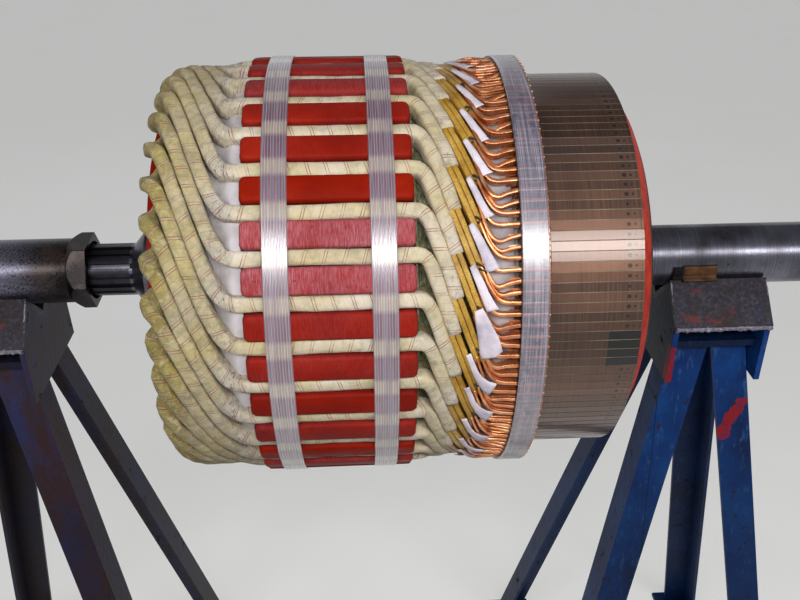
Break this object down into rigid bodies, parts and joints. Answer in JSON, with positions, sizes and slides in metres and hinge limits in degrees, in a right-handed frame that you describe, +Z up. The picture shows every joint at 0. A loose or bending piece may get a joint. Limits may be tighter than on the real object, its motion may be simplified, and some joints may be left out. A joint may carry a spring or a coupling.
{
  "type": "motor armature on trestle stands",
  "caption": "Wound direct-current motor armature with commutator, lying by its shaft across two angle-iron trestle stands.",
  "frame": {"origin": "on the floor, midway between the two stands and under the shaft", "axes": "+Z up, +X along the shaft towards the commutator, -Y towards the viewer"},
  "size_m": [1.4896, 0.5638, 1.2819],
  "materials": {
    "shaft_steel": "turned, oily",
    "rusty_steel": "rusty",
    "red_enamel": "gloss insulating enamel",
    "dark_steel": "matt",
    "white_insulation": "matt",
    "grey_insulation": "matt",
    "cotton_tape": "woven cotton tape with red tracer lines",
    "amber_sleeving": "satin",
    "bare_copper": "bright, bare",
    "bar_copper": "turned, browned",
    "glass_band": "resin glass strands",
    "bare_plate": "worn, bare",
    "blue_paint": "worn, rust showing"
  },
  "bodies": {
    "stands": {"left_cradle_front_angle": "bare_plate", "left_cradle_rear_angle": "bare_plate", "left_end_plates": "blue_paint", "left_base_plate": "blue_paint", "left_front_left_leg": "blue_paint", "left_front_right_leg": "blue_paint", "left_rear_left_leg": "blue_paint", "left_rear_right_leg": "blue_paint", "right_cradle_front_angle": "bare_plate", "right_cradle_rear_angle": "bare_plate", "right_end_plates": "blue_paint", "right_base_plate": "blue_paint", "right_front_left_leg": "blue_paint", "right_front_right_leg": "blue_paint", "right_rear_left_leg": "blue_paint", "right_rear_right_leg": "blue_paint"},
    "armature": {"shaft": "shaft_steel", "end_sleeve": "rusty_steel", "core_stack": "red_enamel", "core_spider": "dark_steel", "rear_pressure_plate": "red_enamel", "front_pressure_plate": "red_enamel", "rear_shelf": "white_insulation", "front_shelf": "grey_insulation", "slot_coils": "cotton_tape", "rear_upper_arms": "cotton_tape", "rear_lower_arms": "cotton_tape", "front_upper_arms": "cotton_tape", "front_lower_arms": "cotton_tape", "rear_noses": "cotton_tape", "lead_sleeves": "amber_sleeving", "upper_leads": "bare_copper", "lower_leads": "bare_copper", "commutator_bars": "bar_copper", "commutator_hub": "dark_steel", "end_ring": "red_enamel", "end_cap": "dark_steel", "rear_support_drum": "red_enamel", "rear_support_flange": "red_enamel", "front_support_drum": "grey_insulation", "lead_backing": "white_insulation", "left_core_band": "glass_band", "right_core_band": "glass_band", "riser_band": "glass_band"}
  },
  "joints": [
    {"name": "armature_spin", "type": "hinge", "parent": "stands", "child": "armature", "pos_m": [0, 0, 1], "axis": [1, 0, 0], "continuous": true}
  ]
}
